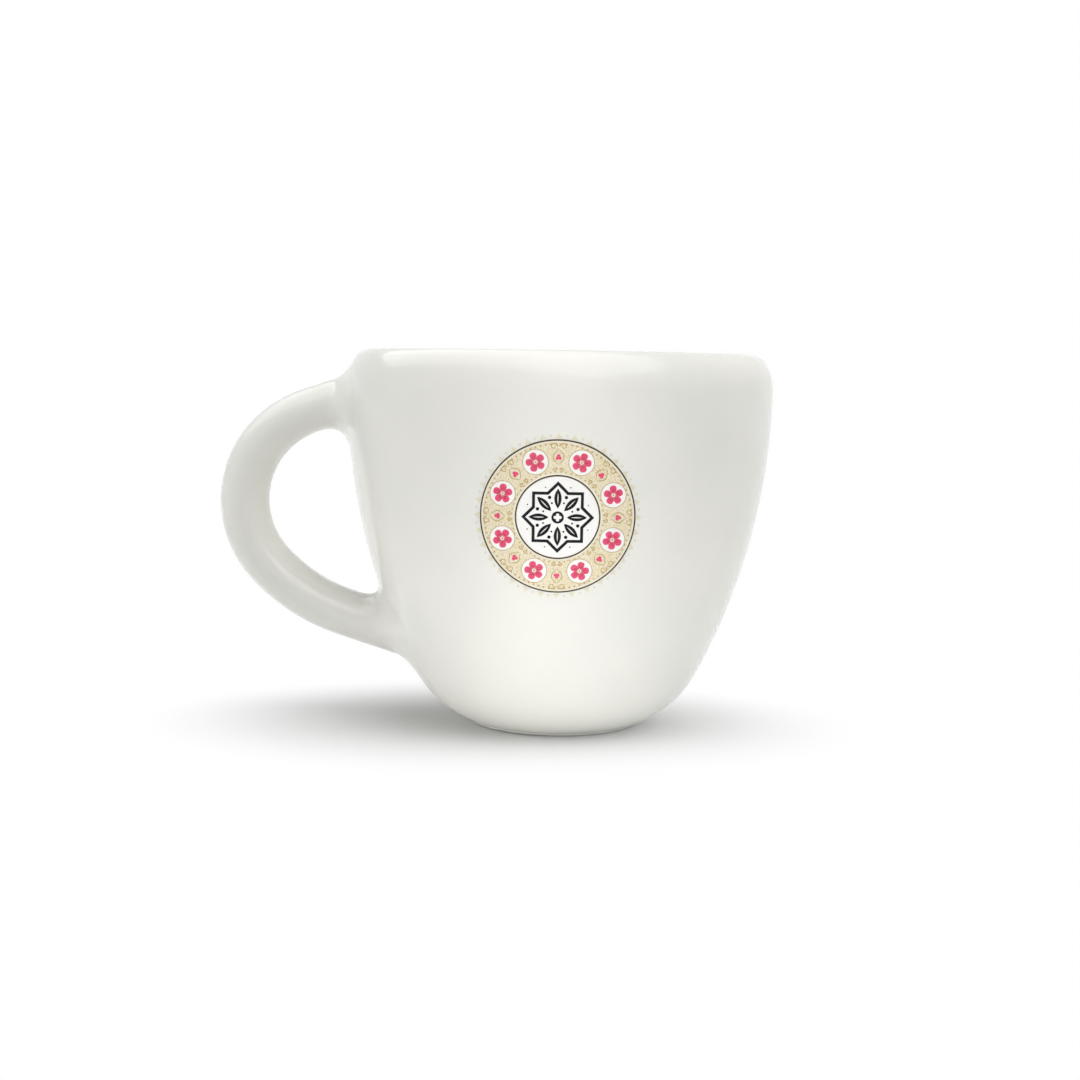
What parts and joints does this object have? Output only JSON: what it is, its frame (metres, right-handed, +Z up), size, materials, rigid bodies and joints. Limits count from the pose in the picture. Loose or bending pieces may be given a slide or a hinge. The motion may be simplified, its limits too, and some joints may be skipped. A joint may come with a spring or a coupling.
{
  "type": "mug",
  "caption": "Round-bottomed glazed ceramic mug with a rolled rim, a loop handle luted to its wall and a round fired print on its front.",
  "frame": {"origin": "on the cup's axis, in the plane of the foot ring that stands on the table", "axes": "+Z up along the cup's axis; the handle points to -X; the print faces -Y"},
  "size_m": [0.1231, 0.0944, 0.083],
  "materials": {
    "clay": "dry, fine-grained fired clay",
    "glaze": "smooth warm-white gloss glaze",
    "print_gold": "fired beige-gold colour, satin gloss",
    "print_brown": "fired dark brown line, satin gloss",
    "print_charcoal": "fired charcoal colour, satin gloss",
    "print_crimson": "fired crimson colour, satin gloss"
  },
  "bodies": {
    "root": {"cup_body": "clay", "cup_glaze": "glaze", "handle": "clay", "handle_glaze": "glaze", "upper_handle_joint": "glaze", "lower_handle_joint": "glaze", "print_gold_band": "print_gold", "print_dark_rings": "print_brown", "print_centre_star": "print_charcoal", "print_blossoms": "print_crimson"}
  },
  "joints": []
}
